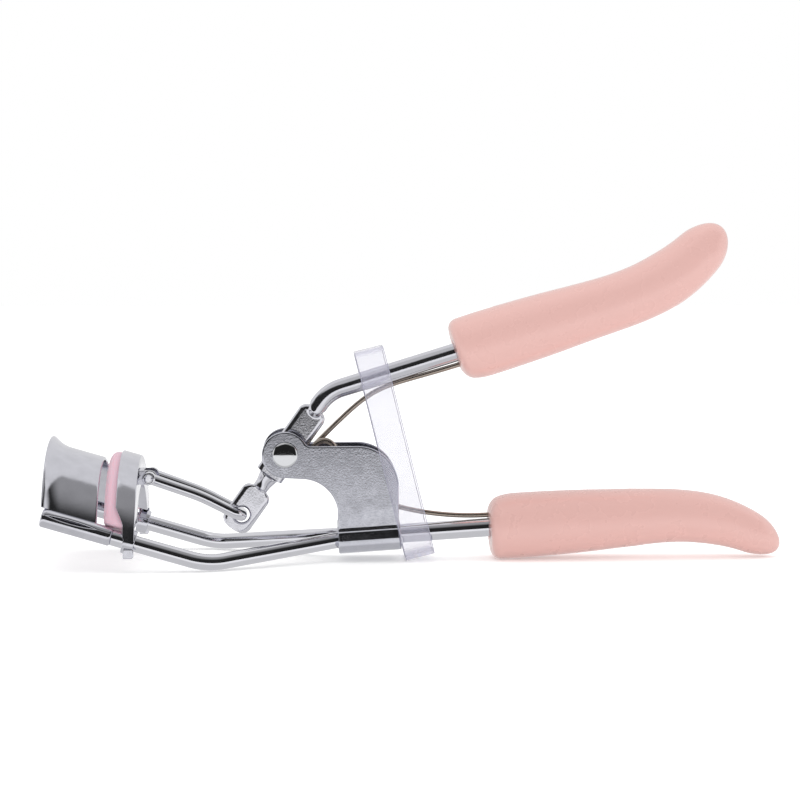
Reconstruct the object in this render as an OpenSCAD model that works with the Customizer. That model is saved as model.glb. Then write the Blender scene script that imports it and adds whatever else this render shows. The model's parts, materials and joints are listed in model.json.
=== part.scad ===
// Eyelash curler with a wire frame, a sliding lower jaw and two moulded grips.
// It stands on its two rail bends and on the tail of its lower grip: that plane is z = 0.
// X runs from the jaws (-X) to the grips (+X), and Y is the axis of every pin.

/* [Rails] */
// Distance between the two rails, centre to centre
rail_spacing = 28; // [24:0.5:32]
// Diameter of a rail wire
rail_d = 2.7; // [2.2:0.1:3.2]
// Slope of the rails ahead of their bend, in degrees
rail_tilt = 16.3; // [12:0.5:20]
// Bend radius of a rail, at the wire's axis
rail_bend_r = 9; // [5:0.5:12]
// Length from the rail bend to the bracket, along X
rail_rear_len = 21.5; // [18:0.5:26]
// Rise from the rail bend to the bracket's crimp
rail_rise = 2.4; // [1.5:0.1:4]

/* [Jaws] */
// Height of the arch, from the rail axis up to the middle of its plate
arch_h = 10.8; // [9:0.2:12.5]
// Thickness of the front jaw's plate
plate_t = 0.6; // [0.4:0.05:0.9]
// Length of the front jaw's plate, along X
front_jaw_len = 9; // [7:0.5:12]
// Distance from the rail bend forward to the front jaw's pressing edge
press_edge_x = 17.8; // [16:0.2:22]
// How far the front jaw's lip flares outwards
lip_flare = 1.8; // [0.8:0.1:2.4]
// Length of the flared lip, along X
lip_len = 2.6; // [1.6:0.1:3.5]
// Gap between the pad and the pressing edge as the curler stands
jaw_gap = 0.95; // [0.6:0.05:1.4]
// Height of the pad, across the arch
pad_h = 3.8; // [3:0.1:5]
// How far the pad stands out of its channel
pad_proud = 2.1; // [1.4:0.1:2.8]
// Depth of the channel that holds the pad, along X
channel_depth = 3.1; // [2.4:0.1:4]
// Thickness of the channel's sheet
channel_t = 0.5; // [0.35:0.05:0.7]
// Running clearance, all round, between a rail and the moving jaw's eye
eye_clearance = 0.08; // [0.05:0.01:0.1]

/* [Lever] */
// Diameter of both handle rods
rod_d = 3.2; // [2.6:0.1:3.8]
// Distance from the pivot to the lever's hole
lever_reach = 12.85; // [11:0.25:15]
// Slope of the lever's flat end, in degrees
lever_angle = 54.8; // [50:0.5:60]
// Slope of the upper rod, in degrees
upper_angle = 17.2; // [14:0.5:22]
// Distance from the pivot to the bend of the lever
lever_bend = 12.6; // [10:0.5:15]
// Bend radius of the lever
lever_bend_r = 7; // [5:0.5:10]
// Width of the lever where it is pressed flat
flat_w = 5; // [4.2:0.1:5.6]
// Thickness of the lever where it is pressed flat
flat_t = 1.8; // [1.2:0.1:2.2]
// Diameter of the hole that the yoke hangs in
hook_hole_d = 3.2; // [2.8:0.1:3.4]

/* [Pivot] */
// Height of the pivot above the bracket's crimp
pivot_h = 14.25; // [12:0.25:18]
// Distance from the bracket's crimp centre forward to the pivot
pivot_ahead = 14.2; // [12:0.2:17]
// Diameter of the pivot rivet
rivet_d = 2.4; // [1.8:0.1:2.6]
// Diameter of the rivet's heads
rivet_head_d = 4.4; // [3.8:0.1:5]
// Radial clearance of the lever and the spacers on the rivet
pivot_clearance = 0.05; // [0.02:0.01:0.08]
// Thickness of the bracket's sheet
bracket_t = 0.8; // [0.6:0.05:1]
// Length of the bracket's crimp
crimp_len = 10.6; // [8:0.2:12]

/* [Yoke] */
// Diameter of the yoke's wire
yoke_d = 1.87; // [1.5:0.1:2]
// Distance between the yoke's two ends, centre to centre
yoke_spacing = 8; // [7:0.25:9]
// Distance from the moving jaw's back to the yoke's pin
yoke_pin_behind = 1.5; // [1.3:0.1:2.2]
// Diameter of the yoke's pin
yoke_pin_d = 0.9; // [0.7:0.05:1]

/* [Handles] */
// Length of a grip
grip_len = 49.4; // [42:0.5:56]
// Distance from the pivot to the upper grip's front, along its rod
upper_grip_at = 32.7; // [30:0.5:38]
// Distance from the bracket's crimp centre to the lower grip's front, along its rod
lower_grip_at = 20.6; // [18:0.5:26]
// Slope of the lower rod, in degrees
lower_angle = 3.7; // [2:0.1:6]
// Height of a grip at its thickest
grip_h = 11.1; // [9:0.25:13]
// Width of a grip
grip_w = 11.6; // [9:0.25:13]
// Length of each rod inside its grip
rod_in_grip = 30; // [20:1:38]

/* [Spring and band] */
// Diameter of the spring's wire
spring_d = 0.85; // [0.6:0.05:1]
// Outer diameter of the spring's coil
coil_d = 4.6; // [4:0.1:5.2]
// Width of the clear band
band_w = 5; // [3.5:0.1:6]
// Thickness of the clear band
band_t = 0.35; // [0.25:0.05:0.6]

/* [Hidden] */
$fn = 48;
e = 0.02;                                  // overlap that joins solids of one piece
bend_swell = 0.02;                         // a bend is this much fatter than its straight lengths
Y_AXIS = [0, 1, 0];

// --- vectors -------------------------------------------------------------------
function unit(v) = v / norm(v);
function across(v) = unit([v[0], 0, v[2]]);
// Direction in the XZ plane at a slope of a degrees
function dir(a) = [cos(a), 0, sin(a)];
function left(a) = [-sin(a), 0, cos(a)];

// --- rails: front line, bend and rear line ---------------------------------------
rail_y = rail_spacing / 2;
wire_y = rod_d / 2 + rail_d / 2 + 0.02;    // a rail's place beside the rod, in the crimp
rail_dir = dir(-rail_tilt);
rail_rear = unit([rail_rear_len, wire_y - rail_y, rail_rise]);
bend_turn = acos(rail_dir * rail_rear);
bend_mid = unit(rail_rear - rail_dir) * rail_bend_r / cos(bend_turn / 2);
bend_normal = unit(cross(rail_dir, rail_rear));
// The lowest point of the bend's circle is below its centre by the share of it that stands upright
bend_low = bend_mid[2] - rail_bend_r * sqrt(1 - pow(bend_normal[2], 2));
bend_z = rail_d / 2 - bend_low;            // the wire's underside touches z = 0

// --- bracket, pivot and the part's own origin --------------------------------------
crimp_z = bend_z + rail_rise + sin(lower_angle) * crimp_len / 2;
pivot_z = crimp_z + pivot_h;
front_x = -(press_edge_x + front_jaw_len);              // front of the jaw, from the bend
crimp_x = rail_rear_len + crimp_len / 2;                // from the bend
pivot_from_bend = crimp_x - pivot_ahead;
tail_x = crimp_x + cos(lower_angle) * (lower_grip_at + grip_len) - sin(lower_angle) * 5.6;
bend_x = -(front_x + tail_x) / 2;          // the part's middle along X is x = 0
pivot = [bend_x + pivot_from_bend, 0, pivot_z];
crimp = [bend_x + crimp_x, 0, crimp_z];

rail_bend = [bend_x, rail_y, bend_z];
rail_in = rail_bend + [rail_rear_len, wire_y - rail_y, rail_rise];
rail_out = rail_in + crimp_len * dir(lower_angle);
rail_front = rail_bend - rail_dir * (press_edge_x + front_jaw_len) / cos(rail_tilt);
cheek_in = wire_y + rail_d / 2;            // inner face of a bracket cheek
cheek_out = cheek_in + bracket_t;

// --- arch: a circle through both rail axes and the plate's crown ---------------------
arch_r = (pow(rail_y, 2) + pow(arch_h, 2)) / (2 * arch_h);
arch_half = asin(rail_y / arch_r);         // from the crown to a rail axis
arch_drop = arch_h - arch_r;               // centre of the circle, from the rail axis
arch_slope = -tan(rail_tilt);
press_x = bend_x - press_edge_x;
nose_x = press_x + jaw_gap;
channel_x = nose_x + pad_proud;            // front edge of the moving jaw's channel
back_x = channel_x + channel_depth;        // back wall of the moving jaw
curl_d = rail_d + 0.4;                     // rolled edge of the front jaw
curl_bore = rail_d - 0.5;                  // necked end of the rail inside it
curl_over = 2.3;                           // the rolled edge runs on behind the pressing edge
curl_tuck = asin((curl_d / 2 - 0.09) / arch_r);          // the plate just enters its rolled edge
eye_len = 1.9;
eye_wall = 0.65;
eye_d = rail_d + 2 * (eye_clearance + eye_wall);
pad_mid = arch_r;                          // the pad's middle meets the plate's pressing edge
jaw_high = pad_mid + pad_h / 2 + channel_t;
jaw_low = pad_mid - pad_h / 2 - channel_t;
jaw_end = arch_half - 17;                  // where the channel stops, above a rail
leg_turn = 9;                              // the channel draws in to a leg over this angle
leg_t = 0.8;
leg_x = back_x - eye_len;

// --- yoke and lever ------------------------------------------------------------------
lever_dir = dir(lever_angle);
hook = pivot - lever_reach * lever_dir;
yoke_pin_drop = 3.9;                       // the yoke's pin lies this far below the pivot
yoke_pin = [back_x + yoke_pin_behind, 0, pivot_z - yoke_pin_drop];
eye_barrel_d = yoke_d + 0.4;               // the eye at each end of the yoke
yoke_y = yoke_spacing / 2;
hook_y = yoke_y - 1.3;                     // half the yoke's width where it closes
lug_y = yoke_y - eye_barrel_d / 2 - 0.15;  // outer faces of the lug's ears
upper_dir = dir(upper_angle);
lower_dir = dir(lower_angle);
upper_bend = pivot + lever_bend * lever_dir;

// --- grips ---------------------------------------------------------------------------
// The upper rod's axis passes the pivot at this height, square to its slope
upper_off = (upper_bend - pivot) * left(upper_angle);
upper_start = pivot + upper_grip_at * upper_dir + upper_off * left(upper_angle);
lower_start = crimp + lower_grip_at * lower_dir;
front_round = 1.6;                         // rounding of a grip's front edge
tail_share = 0.09;                         // share of a grip's length that its end cap takes
lower_slim = 0.4;                          // the lower grip thins towards its tail at this rate

// --- spring ----------------------------------------------------------------------------
leg_off = rod_d / 2 + spring_d / 2 + 0.13; // the spring's ends run beside the rods
leg_in_grip = 6;
leg_steps = 14;
coil_at = pivot + [6.6, 0, 0.2];
coil_r = (coil_d - spring_d) / 2;
coil_turns = 3;                            // width of the coil in wires; it winds a turn less, plus 90 degrees
coil_pitch = spring_d + 0.1;
coil_half = coil_turns * coil_pitch / 2;
crimp_proud = 0.22;                        // the crimp stands this far out of the cheeks

// ===== shared shapes =====================================================================

// Carries a piece made along +Z to a start point and a direction
module along(from, direction) {
    turn = acos(direction[2] / norm(direction));
    swing = atan2(direction[1], direction[0]);
    translate(from) rotate([0, turn, swing]) children();
}

// A straight length of round bar between two points
module bar(a, b, d, fn = 32) {
    along(a, b - a) cylinder(d = d, h = norm(b - a), $fn = fn);
}

// The round bend of a wire at corner p, from direction u into direction v
module elbow(p, u, v, r, d) {
    turn = acos(u * v);
    x = unit(u - v);
    z = unit(cross(u, v));
    y = cross(z, x);
    centre = p - x * r / cos(turn / 2);
    rotated = [[x[0], y[0], z[0], centre[0]], [x[1], y[1], z[1], centre[1]],
        [x[2], y[2], z[2], centre[2]], [0, 0, 0, 1]];
    multmatrix(rotated) rotate([0, 0, -turn / 2])
        rotate_extrude(angle = turn, $fn = 96) translate([r, 0]) circle(d = d, $fn = 32);
}

// A wire through corner points, each inner corner rounded to its own radius
module wire(points, radii, d) {
    last = len(points) - 1;
    u = [for (i = [0:last - 1]) unit(points[i + 1] - points[i])];
    cut = [for (i = [0:last]) (i == 0 || i == last) ? 0 : radii[i] * tan(acos(u[i - 1] * u[i]) / 2)];
    for (i = [0:last - 1])
        bar(points[i] + u[i] * (cut[i] - (i == 0 ? 0 : e)),
            points[i + 1] - u[i] * (cut[i + 1] - (i == last - 1 ? 0 : e)), d);
    for (i = [1:last - 1]) elbow(points[i], u[i - 1], u[i], radii[i], d + bend_swell);
}

// Closed profiles of [x, radius] points carried round the arch, one at each angle from the crown;
// each profile runs counter-clockwise with x to the right and the radius up
module arch(profiles, angles) {
    n = len(profiles[0]);
    last = len(angles) - 1;
    rings = [for (k = [0:last]) for (q = profiles[k])
        [q[0], q[1] * sin(angles[k]),
            bend_z + arch_drop + q[1] * cos(angles[k]) + arch_slope * (q[0] - bend_x)]];
    sides = [for (k = [0:last - 1]) for (i = [0:n - 1]) let (j = (i + 1) % n)
        [k * n + i, k * n + j, (k + 1) * n + j, (k + 1) * n + i]];
    polyhedron(points = rings, faces = concat(sides,
        [[for (i = [n - 1:-1:0]) i], [for (i = [0:n - 1]) last * n + i]]), convexity = 6);
}

// Equal steps from -half to half
function sweep(half, steps) = [for (k = [0:steps]) half * (2 * k / steps - 1)];

// A smooth curve through values given at equal steps of t, with flat ends
function blend_at(list, t) = let (n = len(list) - 1, s = min(max(t, 0), 1) * n, i = min(floor(s), n - 1), f = s - i)
    let (a = list[max(i - 1, 0)], b = list[i], c = list[i + 1], d = list[min(i + 2, n)])
    b + 0.5 * f * (c - a + f * (2 * a - 5 * b + 4 * c - d + f * (3 * (b - c) + d - a)));

// A round tube through the points of a path, capped at both ends
module tube(path, r, sides = 8) {
    n = len(path);
    ahead = [for (i = [0:n - 1]) unit(path[min(i + 1, n - 1)] - path[max(i - 1, 0)])];
    side = [for (t = ahead) unit(cross(t, abs(t[1]) < 0.9 ? Y_AXIS : [1, 0, 0]))];
    rings = [for (i = [0:n - 1]) for (k = [0:sides - 1]) let (a = 360 * k / sides)
        path[i] + r * (cos(a) * side[i] + sin(a) * cross(ahead[i], side[i]))];
    skin = [for (i = [0:n - 2]) for (k = [0:sides - 1]) let (m = (k + 1) % sides)
        [i * sides + k, i * sides + m, (i + 1) * sides + m, (i + 1) * sides + k]];
    polyhedron(points = rings, faces = concat([for (f = skin) [f[3], f[2], f[1], f[0]]],
        [[for (k = [0:sides - 1]) k], [for (k = [sides - 1:-1:0]) (n - 1) * sides + k]]), convexity = 8);
}

// ===== frame =============================================================================

// Arched plate with a flared lip in front, rolled round the ends of both rails
module front_jaw() color("silver") {
    lip = 8;
    outer = arch_r + plate_t / 2;
    flare = [for (k = [0:lip]) let (t = k / lip)
        [press_x - front_jaw_len + lip_len * t, lip_flare * pow(1 - t, 2)]];
    top = [for (q = flare) [q[0], outer + q[1]]];
    under = [for (k = [lip:-1:0]) [flare[k][0] + 0.25 * (1 - k / lip), outer - plate_t + flare[k][1]]];
    profile = concat(top, [[press_x, outer], [press_x, outer - plate_t]], under);
    turned = [for (k = [len(profile) - 1:-1:0]) profile[k]];
    angles = sweep(arch_half - curl_tuck, 48);
    arch([for (a = angles) turned], angles);
    for (side = [-1, 1]) front_curl(side);
}

// The plate's rolled edge, a tube with a slit under it that shows where the sheet ends
module front_curl(side) {
    start = [rail_front[0], side * rail_y, rail_front[2]];
    length = (front_jaw_len + curl_over) / cos(rail_tilt);
    difference() {
        along(start, rail_dir) cylinder(d = curl_d, h = length);
        along(start - rail_dir, rail_dir) cylinder(d = curl_bore, h = length + 2);
    }
}

// One side rail: a wire with a necked front end, bent in towards the bracket
module rail(side) {
    flip = [1, side, 1];
    neck = rail_front + rail_dir * (front_jaw_len + curl_over) / cos(rail_tilt);
    mirror([0, side < 0 ? 1 : 0, 0]) {
        wire([neck, rail_bend, rail_in, rail_out], [0, rail_bend_r, 6, 0], rail_d);
        bar(rail_front, neck + rail_dir * e, curl_bore);
    }
}

module rail_left() color("gainsboro") rail(-1);
module rail_right() color("gainsboro") rail(1);

// Outline of a bracket cheek in the XZ plane, with the pivot at its origin
module cheek_outline() {
    ear_r = 3.9;
    top_z = 1.45;
    rear_x = pivot_ahead + crimp_len / 2 - 0.4;
    floor_z = -pivot_h + 1.4;
    shoulder_r = 6.8;
    hollow_r = 6.2;
    front_foot = pivot_ahead - crimp_len / 2;
    hollow_x = front_foot - hollow_r;
    fillet_r = 1.2;
    circle(r = ear_r, $fn = 96);
    difference() {
        union() {
            translate([0, floor_z]) square([rear_x - shoulder_r, top_z - floor_z]);
            translate([0, floor_z]) square([rear_x, top_z - floor_z - shoulder_r]);
            translate([rear_x - shoulder_r, top_z - shoulder_r]) circle(r = shoulder_r, $fn = 96);
            translate([3, top_z - e]) square([1.9, fillet_r * 0.55]);
        }
        translate([hollow_x, -ear_r - 0.15 - hollow_r]) circle(r = hollow_r, $fn = 96);
        translate([-1, floor_z - 1]) square([hollow_x + 1, pivot_h]);
        translate([-1, floor_z - 1]) square([front_foot + 1, pivot_h - ear_r - hollow_r - 1]);
        translate([ear_r + fillet_r * 1.05, top_z + fillet_r]) circle(r = fillet_r, $fn = 64);
    }
    translate([0, -ear_r]) square([max(hollow_x, 0.1), ear_r]);
}

// Folded sheet: two cheeks that carry the pivot, and a crimp round both rails and the rod
module bracket() color("silver") difference() {
    union() {
        for (side = [-1, 1])
            translate(pivot + [0, side > 0 ? cheek_out : -cheek_in, 0])
                rotate([90, 0, 0]) linear_extrude(bracket_t) cheek_outline();
        along(crimp - lower_dir * crimp_len / 2, lower_dir) crimp_body();
    }
    along(crimp - lower_dir * crimp_len, lower_dir) cylinder(d = rod_d, h = 2 * crimp_len);
    for (side = [-1, 1])
        along(crimp + [0, side * wire_y, 0] - lower_dir * crimp_len, lower_dir)
            cylinder(d = rail_d, h = 2 * crimp_len);
    translate(pivot + [0, -cheek_out - 1, 0]) rotate([-90, 0, 0])
        cylinder(d = rivet_d, h = 2 * cheek_out + 2);
}

// The crimp: an oblong tube, a little proud of the cheeks
module crimp_body() {
    corner = 1;
    height = rod_d + 2 * bracket_t + 0.2;
    linear_extrude(crimp_len) loop_outline(height / 2, cheek_out + crimp_proud, corner);
}

// Straight rod from the crimp into the lower grip
module handle_rod() color("gainsboro")
    bar(crimp - lower_dir * crimp_len / 2, lower_start + lower_dir * rod_in_grip, rod_d);

// ===== pivot =============================================================================

// Headed rivet through both cheeks, the spacers and the lever
module pivot_rivet() color("white") {
    head_h = 0.7;
    rim = 0.25;
    for (side = [-1, 1]) translate(pivot + [0, side * cheek_out, 0]) rotate([-90 * side, 0, 0]) {
        cylinder(d = rivet_head_d, h = head_h - rim);
        translate([0, 0, head_h - rim]) cylinder(d1 = rivet_head_d, d2 = rivet_head_d - 2 * rim, h = rim);
    }
    translate(pivot - [0, cheek_out + e, 0]) rotate([-90, 0, 0])
        cylinder(d = rivet_d, h = 2 * cheek_out + 2 * e);
}

// Bush that keeps the lever in the middle between the cheeks
module spacer(side) {
    play = 0.04;
    start = flat_t / 2 + play;
    translate(pivot + [0, side * start, 0]) rotate([-90 * side, 0, 0]) difference() {
        cylinder(d = rivet_d + 1.6, h = cheek_in - start);
        translate([0, 0, -1]) cylinder(d = rivet_d + 2 * pivot_clearance, h = cheek_in + 1);
    }
}

module spacer_left() color("gray") spacer(-1);
module spacer_right() color("gray") spacer(1);

// ===== lever =============================================================================

// Outline of a stretch pressed flat: round shoulders, along X from a to b
module flat_outline(a, b, w, r) {
    translate([a + r, -w / 2]) square([b - a - 2 * r, w]);
    translate([a, -w / 2 + r]) square([b - a, w - 2 * r]);
    for (x = [a + r, b - r]) for (y = [-w / 2 + r, w / 2 - r]) translate([x, y]) circle(r = r, $fn = 64);
}

// One forged rod: the upper arm, a flat with the pivot's hole, a neck and a flat with the hook's hole
module lever_arm() color("silver") {
    neck_d = 2.55;
    step = 4.9;                            // the pivot's flat ends here, below the pivot
    upper_flat = 9.2;
    hook_flat_t = 1.6;
    hook_flat_w = flat_w + 0.3;
    hook_flat_top = lever_reach - 5.4;
    hook_flat_end = lever_reach + 2.9;
    difference() {
        union() {
            wire([pivot + lever_dir * (upper_flat - 2.4), upper_bend,
                upper_start + upper_dir * rod_in_grip], [0, lever_bend_r, 0], rod_d);
            bar(pivot - lever_dir * (step - 1), pivot - lever_dir * (hook_flat_top + 1), neck_d);
            translate(pivot + [0, flat_t / 2, 0]) rotate([90, 0, 0]) rotate([0, 0, lever_angle]) {
                linear_extrude(flat_t) flat_outline(-step, upper_flat, flat_w, 1.6);
                linear_extrude(flat_t) translate([-step, -flat_w / 2]) square([2, flat_w]);
            }
            translate(pivot + [0, hook_flat_t / 2, 0]) rotate([90, 0, 0]) rotate([0, 0, lever_angle])
                linear_extrude(hook_flat_t) flat_outline(-hook_flat_end, -hook_flat_top, hook_flat_w, 1.7);
        }
        translate(pivot - [0, flat_t, 0]) rotate([-90, 0, 0])
            cylinder(d = rivet_d + 2 * pivot_clearance, h = 2 * flat_t);
        translate(hook - [0, flat_t, 0]) rotate([-90, 0, 0]) cylinder(d = hook_hole_d, h = 2 * flat_t);
        // Nothing round stands on the flat near the pivot, where the spacers turn
        for (side = [-1, 1]) translate(pivot + [0, side * (flat_t / 2 + 2), 0])
            rotate([90, 0, 0]) cylinder(r = 5.6, h = 4, center = true);
    }
}

// ===== grips =============================================================================

// Middle line, half height and half width of a grip at a share t of its length; the tail turns
// outwards, away from the other grip, and slim thins it. The front edge is a round fillet.
function grip_mid(t) = 7.2 * pow(max(t - 0.5, 0) / 0.5, 2.85);
function grip_swell(t, slim) = (1 - slim * max(t - 0.5, 0))
    * blend_at([0.985, 1, 0.985, 0.955, 0.905, 0.87, 0.865, 0.86, 0.785, 0.66], t);
function grip_round(t, front) = let (r = 2 * front_round / grip_h)
    t < front ? 1 - r * (1 - sqrt(1 - pow(1 - t / front, 2))) :
    t > 1 - tail_share ? sqrt(max(1 - pow((t - 1 + tail_share) / tail_share, 2.2), 0)) : 1;
function grip_ring(t, n, slim) = let (
        u = t * grip_len, m = grip_mid(t), q = 0.001,
        slope = atan2(grip_mid(min(t + q, 1)) - grip_mid(t - q), (min(t + q, 1) - t + q) * grip_len),
        full = grip_swell(t, slim) * grip_round(t, front_round / grip_len),
        h = grip_h / 2 * full, w = grip_w / 2 * full)
    [for (k = [0:n - 1]) let (a = 360 * k / n, c = cos(a), s = sin(a), p = 0.88,
            y = w * sign(c) * pow(abs(c), p), v = h * sign(s) * pow(abs(s), p))
        [u - v * sin(slope), y, m + v * cos(slope)]];

// A grip along +X with its tail turned up; a round bore takes the rod, a small one the spring's end
module grip(slim) {
    sides = 28;
    front = front_round / grip_len;
    body = 1 - front - tail_share;
    // Rings stand closer at both ends, where the outline turns
    stations = concat([for (k = [0:4]) front * (1 - cos(k * 22.5))], [for (k = [1:15]) front + body * k / 15],
        [for (k = [1:7]) 1 - tail_share + 0.995 * tail_share * sin(k * 90 / 7)]);
    n = len(stations);
    rings = [for (t = stations) for (q = grip_ring(t, sides, slim)) q];
    skin = [for (i = [0:n - 2]) for (k = [0:sides - 1]) let (m = (k + 1) % sides)
        [i * sides + k, i * sides + m, (i + 1) * sides + m, (i + 1) * sides + k]];
    difference() {
        polyhedron(points = rings, faces = concat([for (f = skin) [f[3], f[2], f[1], f[0]]],
            [[for (k = [0:sides - 1]) k], [for (k = [sides - 1:-1:0]) (n - 1) * sides + k]]), convexity = 4);
        translate([-1, 0, 0]) rotate([0, 90, 0]) cylinder(d = rod_d, h = rod_in_grip + 1);
        translate([-1, 0, -leg_off]) rotate([0, 90, 0]) cylinder(d = spring_d + 0.4, h = leg_in_grip + 2);
    }
}

module upper_grip() color("lightpink")
    translate(upper_start) rotate([0, -upper_angle, 0]) grip(0);
module lower_grip() color("lightpink")
    translate(lower_start) rotate([0, -lower_angle, 0]) mirror([0, 0, 1]) grip(lower_slim);

// ===== spring and band ===================================================================

// A curve from point a leaving along u to point b arriving along v
function sweep_leg(a, u, b, v, n) = [for (k = [1:n]) let (t = k / n)
    a * (1 + 2 * t) * pow(1 - t, 2) + u * t * pow(1 - t, 2) + b * (3 - 2 * t) * pow(t, 2)
        - v * pow(t, 2) * (1 - t)];
function coil_point(a, y) = coil_at + [coil_r * cos(a), y, coil_r * sin(a)];

// Torsion spring: a coil between the cheeks, and a leg into each grip; both legs leave the coil on
// its front side, one up and one down, so the coil winds up as the handles close
module return_spring() color("rosybrown") {
    first = 225;                           // where the lower leg leaves the coil, in degrees
    turned = 90 + 360 * (coil_turns - 1);
    steps = 44;
    coil = [for (k = [0:steps]) coil_point(first - turned * k / steps, coil_half * (2 * k / steps - 1))];
    low_end = lower_start + leg_off * left(lower_angle);
    high_end = upper_start - leg_off * left(upper_angle);
    low_pull = 30;                         // how far each leg keeps to its end directions
    high_pull = 47;
    low = sweep_leg(coil[0], low_pull * dir(-50), low_end, low_pull * lower_dir, leg_steps);
    high = sweep_leg(coil[steps], high_pull * dir(45), high_end, high_pull * upper_dir, leg_steps);
    path = concat([low_end + leg_in_grip * lower_dir], [for (k = [leg_steps - 1:-1:0]) low[k]], coil, high,
        [high_end + leg_in_grip * upper_dir]);
    tube(path, spring_d / 2);
}

// Flat closed loop of clear film round both rods, just above the standing plane
module retainer_band() color("lavender", 0.5) {
    half_y = cheek_out + crimp_proud + 0.15;
    corner = 2.2;
    top = pivot + [14.05, 0, 17.65];
    foot_dip = band_w * 0.12;              // how far the lean lowers the band's front edge
    foot_gap = 0.03;
    foot = [pivot[0] + 22.8, 0, foot_dip + foot_gap];
    lean = atan2(foot[0] - top[0], top[2] - foot[2]);
    tall = norm(top - foot);
    translate((top + foot) / 2) rotate([0, -lean, 0]) rotate([0, 90, 0]) translate([0, 0, -band_w / 2])
        linear_extrude(band_w) difference() {
            loop_outline(tall / 2, half_y + band_t, corner + band_t);
            loop_outline(tall / 2 - band_t, half_y, corner);
        }
}

// Oblong with round corners, 2a long and 2b wide
module loop_outline(a, b, r) {
    square([2 * a, 2 * (b - r)], center = true);
    square([2 * (a - r), 2 * b], center = true);
    for (x = [-1, 1]) for (y = [-1, 1]) translate([x * (a - r), y * (b - r)]) circle(r = r);
}

// ===== moving jaw ========================================================================

// The moving jaw's section at a share s of the way from channel (0) to leg (1): the channel's front
// edge and inner wall draw back, and the pocket closes on to the leg's front edge
function jaw_section(s) = let (
        front = channel_x + s * (leg_x - channel_x), low = jaw_low + s * (jaw_high - leg_t - jaw_low),
        middle = (jaw_high + low) / 2, open = 1 - s, top = middle + 0.2 + open * (pad_h / 2 - 0.2),
        pocket_back = front + open * (back_x - channel_t - front), pinch = 0.1 * s)
    [[front, low], [back_x, low], [back_x, jaw_high], [front, jaw_high], [front, top],
        [pocket_back, top - pinch], [pocket_back, 2 * middle - top + pinch], [front, 2 * middle - top]];

// Arched channel that holds the pad, with a leg and an eye on each rail
module moving_jaw() color("silver") {
    angles = concat([-arch_half, -jaw_end - leg_turn], sweep(jaw_end, 44), [jaw_end + leg_turn, arch_half]);
    arch([for (a = angles) jaw_section(min(max((abs(a) - jaw_end) / leg_turn, 0), 1))], angles);
    for (side = [-1, 1]) jaw_eye(side);
}

// Each leg ends in an eye round the rail, with a tab below it
module jaw_eye(side) {
    centre = rail_bend - rail_dir * (bend_x - leg_x) / cos(rail_tilt) - [0, rail_y - side * rail_y, 0];
    tab_drop = 2.8;
    tab_t = 0.7;
    difference() {
        union() {
            along(centre, rail_dir) cylinder(d = eye_d, h = eye_len);
            translate(centre + [0.01, side * (eye_d / 2 - tab_t) - (side > 0 ? 0 : tab_t), -tab_drop])
                cube([eye_len * cos(rail_tilt) - 0.02, tab_t, tab_drop]);
        }
        along(centre - rail_dir * 3, rail_dir) cylinder(d = rail_d + 2 * eye_clearance, h = eye_len + 6);
    }
}

// Moulded strip with a round nose, pressed into the channel
module silicone_pad() color("hotpink") {
    nose = 10;
    half = pad_h / 2;
    front = [for (k = [0:nose]) let (a = 90 - 180 * k / nose)
        [nose_x + half * 0.8 * (1 - cos(a)), pad_mid + half * sin(a)]];
    profile = concat([[back_x - channel_t, pad_mid - half], [back_x - channel_t, pad_mid + half]], front);
    angles = sweep(jaw_end, 44);
    arch([for (a = angles) profile], angles);
}

// Small folded lug welded to the back of the moving jaw
module hinge_lug() color("silver") difference() {
    ear_t = 0.6;
    ear_r = 1.2;
    union() {
        for (side = [-1, 1]) translate([0, side > 0 ? lug_y : -lug_y + ear_t, 0]) rotate([90, 0, 0])
            linear_extrude(ear_t) {
                translate([yoke_pin[0], yoke_pin[2]]) circle(r = ear_r);
                translate([back_x, yoke_pin[2] - ear_r]) square([yoke_pin_behind, 2 * ear_r]);
            }
        translate([back_x, -lug_y, yoke_pin[2] - ear_r]) cube([0.5, 2 * lug_y, 2 * ear_r]);
    }
    translate(yoke_pin - [0, 2 * lug_y, 0]) rotate([-90, 0, 0]) cylinder(d = yoke_pin_d, h = 4 * lug_y);
}

// Pin with peened heads, fixed in the lug, that both ends of the yoke turn on
module yoke_pin() color("white") {
    reach = yoke_y + eye_barrel_d / 2 + 0.1;
    translate(yoke_pin - [0, reach, 0]) rotate([-90, 0, 0]) cylinder(d = yoke_pin_d, h = 2 * reach);
    for (side = [-1, 1]) translate(yoke_pin + [0, side * (reach + 0.2), 0]) rotate([-90 * side, 0, 0])
        translate([0, 0, -0.2]) cylinder(d1 = yoke_pin_d + 0.5, d2 = yoke_pin_d, h = 0.35);
}

// One wire bent to a U: its closed end hangs in the lever's hole, and an eye ends each branch
module yoke_wire() color("gainsboro") {
    eye_w = yoke_d + 0.1;
    arched = yoke_pin + 0.55 * (hook - yoke_pin) + 0.55 * across(cross(hook - yoke_pin, Y_AXIS));
    ends = [for (side = [-1, 1]) yoke_pin + [0, side * yoke_y, 0]];
    corners = [for (side = [-1, 1]) hook + [0, side * hook_y, 0]];
    mids = [for (side = [-1, 1]) arched + [0, side * (yoke_y + 0.55 * (hook_y - yoke_y)), 0]];
    difference() {
        union() {
            wire([ends[0], mids[0], corners[0], corners[1], mids[1], ends[1]], [0, 30, 1.55, 1.55, 30, 0], yoke_d);
            for (p = ends) translate(p - [0, eye_w / 2, 0]) rotate([-90, 0, 0])
                cylinder(d = eye_barrel_d, h = eye_w);
        }
        translate(yoke_pin - [0, yoke_spacing, 0]) rotate([-90, 0, 0])
            cylinder(d = yoke_pin_d + 2 * pivot_clearance, h = 2 * yoke_spacing);
    }
}

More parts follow.
